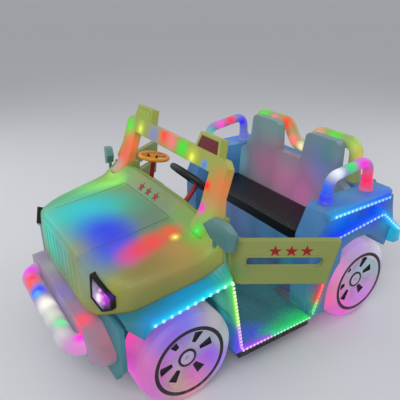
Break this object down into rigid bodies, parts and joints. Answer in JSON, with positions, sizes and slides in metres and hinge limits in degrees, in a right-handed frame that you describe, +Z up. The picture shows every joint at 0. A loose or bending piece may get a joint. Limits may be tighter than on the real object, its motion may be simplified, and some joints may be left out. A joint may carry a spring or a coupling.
{
  "type": "bumper car",
  "caption": "Moulded bumper car in the form of a small open off-road car, with lit lips and tubes, swinging side doors, steered front wheels and a bench seat.",
  "frame": {"origin": "on the floor, in the middle of the overall length and width", "axes": "+X to the car's left, +Y to the rear, +Z up"},
  "size_m": [1.4642, 1.66, 0.9773],
  "materials": {
    "chassis_black": "satin",
    "axle_steel": "satin",
    "tub_teal": "satin translucent",
    "rear_blue": "satin translucent",
    "hood_olive": "satin translucent",
    "screen_olive": "satin translucent",
    "lamp_red": "gloss",
    "bezel_black": "gloss",
    "lens_clear": "clear",
    "mirror_grey": "satin",
    "bumper_white": "satin translucent",
    "tube_lit": "translucent, lit",
    "seat_teal": "satin translucent",
    "cushion_black": "soft sheen",
    "strip_lit": "lit",
    "door_olive": "satin",
    "wheel_black": "satin",
    "column_red": "gloss",
    "toy_orange": "gloss",
    "roller_white": "satin translucent",
    "motor_black": "satin"
  },
  "bodies": {
    "car_body": {"chassis_frame": "chassis_black", "body_tub": "tub_teal", "rear_body": "rear_blue", "front_shell": "hood_olive", "windscreen_frame": "screen_olive", "lamp_panels": "lamp_red", "headlamp_bezels": "bezel_black", "headlamp_lenses": "lens_clear", "mirrors": "mirror_grey", "front_bumper": "bumper_white", "bumper_tube": "tube_lit", "rear_bumper": "rear_blue", "seat_base": "rear_blue", "seat_cushion": "cushion_black", "seat_back": "seat_teal", "roll_hoop": "tube_lit", "grab_rails": "tube_lit", "fender_strips": "strip_lit", "sill_strips": "strip_lit", "rear_strips": "strip_lit", "front_axle": "axle_steel", "rear_axle": "axle_steel", "drive_motor": "motor_black", "battery": "motor_black", "pedal": "wheel_black"},
    "left_door": {"door_left": "door_olive"},
    "right_door": {"door_right": "door_olive"},
    "steering": {"steering_wheel": "wheel_black", "steering_column": "column_red"},
    "play_steering": {"toy_wheel": "toy_orange", "toy_column": "column_red"},
    "left_knuckle": {"knuckle_left": "axle_steel"},
    "right_knuckle": {"knuckle_right": "axle_steel"},
    "track_rod": {"tie_rod": "axle_steel"},
    "front_left_wheel": {"wheel_front_left": "roller_white", "hub_front_left": "axle_steel"},
    "front_right_wheel": {"wheel_front_right": "roller_white", "hub_front_right": "axle_steel"},
    "rear_left_wheel": {"wheel_rear_left": "roller_white", "hub_rear_left": "axle_steel"},
    "rear_right_wheel": {"wheel_rear_right": "roller_white", "hub_rear_right": "axle_steel"}
  },
  "joints": [
    {"name": "steer_left", "type": "hinge", "parent": "car_body", "child": "left_knuckle", "pos_m": [0.4, -0.417, 0.205], "axis": [0, 0, 1], "range_deg": [-15, 15]},
    {"name": "steer_right", "type": "hinge", "parent": "car_body", "child": "right_knuckle", "pos_m": [-0.4, -0.417, 0.205], "axis": [0, 0, 1], "range_deg": [-15, 15]},
    {"name": "track_rod_pivot", "type": "hinge", "parent": "left_knuckle", "child": "track_rod", "pos_m": [0.4, -0.327, 0.171], "axis": [0, 0, 1], "range_deg": [-15, 15]},
    {"name": "steering_turn", "type": "hinge", "parent": "car_body", "child": "steering", "pos_m": [0.158, -0.132, 0.738], "axis": [0, 0.6691, 0.7431], "range_deg": [-90, 90]},
    {"name": "play_wheel_turn", "type": "hinge", "parent": "car_body", "child": "play_steering", "pos_m": [-0.24, -0.132, 0.738], "axis": [0, 0.1736, 0.9848], "continuous": true},
    {"name": "door_left_swing", "type": "hinge", "parent": "car_body", "child": "left_door", "pos_m": [0.478, -0.2, 0.555], "axis": [0, 0, -1], "range_deg": [-33, 37]},
    {"name": "door_right_swing", "type": "hinge", "parent": "car_body", "child": "right_door", "pos_m": [-0.478, -0.2, 0.555], "axis": [0, 0, 1], "range_deg": [-33, 37]},
    {"name": "front_left_spin", "type": "hinge", "parent": "left_knuckle", "child": "front_left_wheel", "pos_m": [0.455, -0.417, 0.205], "axis": [1, 0, 0], "continuous": true},
    {"name": "front_right_spin", "type": "hinge", "parent": "right_knuckle", "child": "front_right_wheel", "pos_m": [-0.455, -0.417, 0.205], "axis": [1, 0, 0], "continuous": true},
    {"name": "rear_left_spin", "type": "hinge", "parent": "car_body", "child": "rear_left_wheel", "pos_m": [0.455, 0.533, 0.205], "axis": [1, 0, 0], "continuous": true},
    {"name": "rear_right_spin", "type": "hinge", "parent": "car_body", "child": "rear_right_wheel", "pos_m": [-0.455, 0.533, 0.205], "axis": [1, 0, 0], "continuous": true}
  ],
  "couplings": [
    {"joint": "steer_right", "follows": "steer_left", "ratio": 1},
    {"joint": "track_rod_pivot", "follows": "steer_left", "ratio": -1},
    {"joint": "steering_turn", "follows": "steer_left", "ratio": 6}
  ]
}
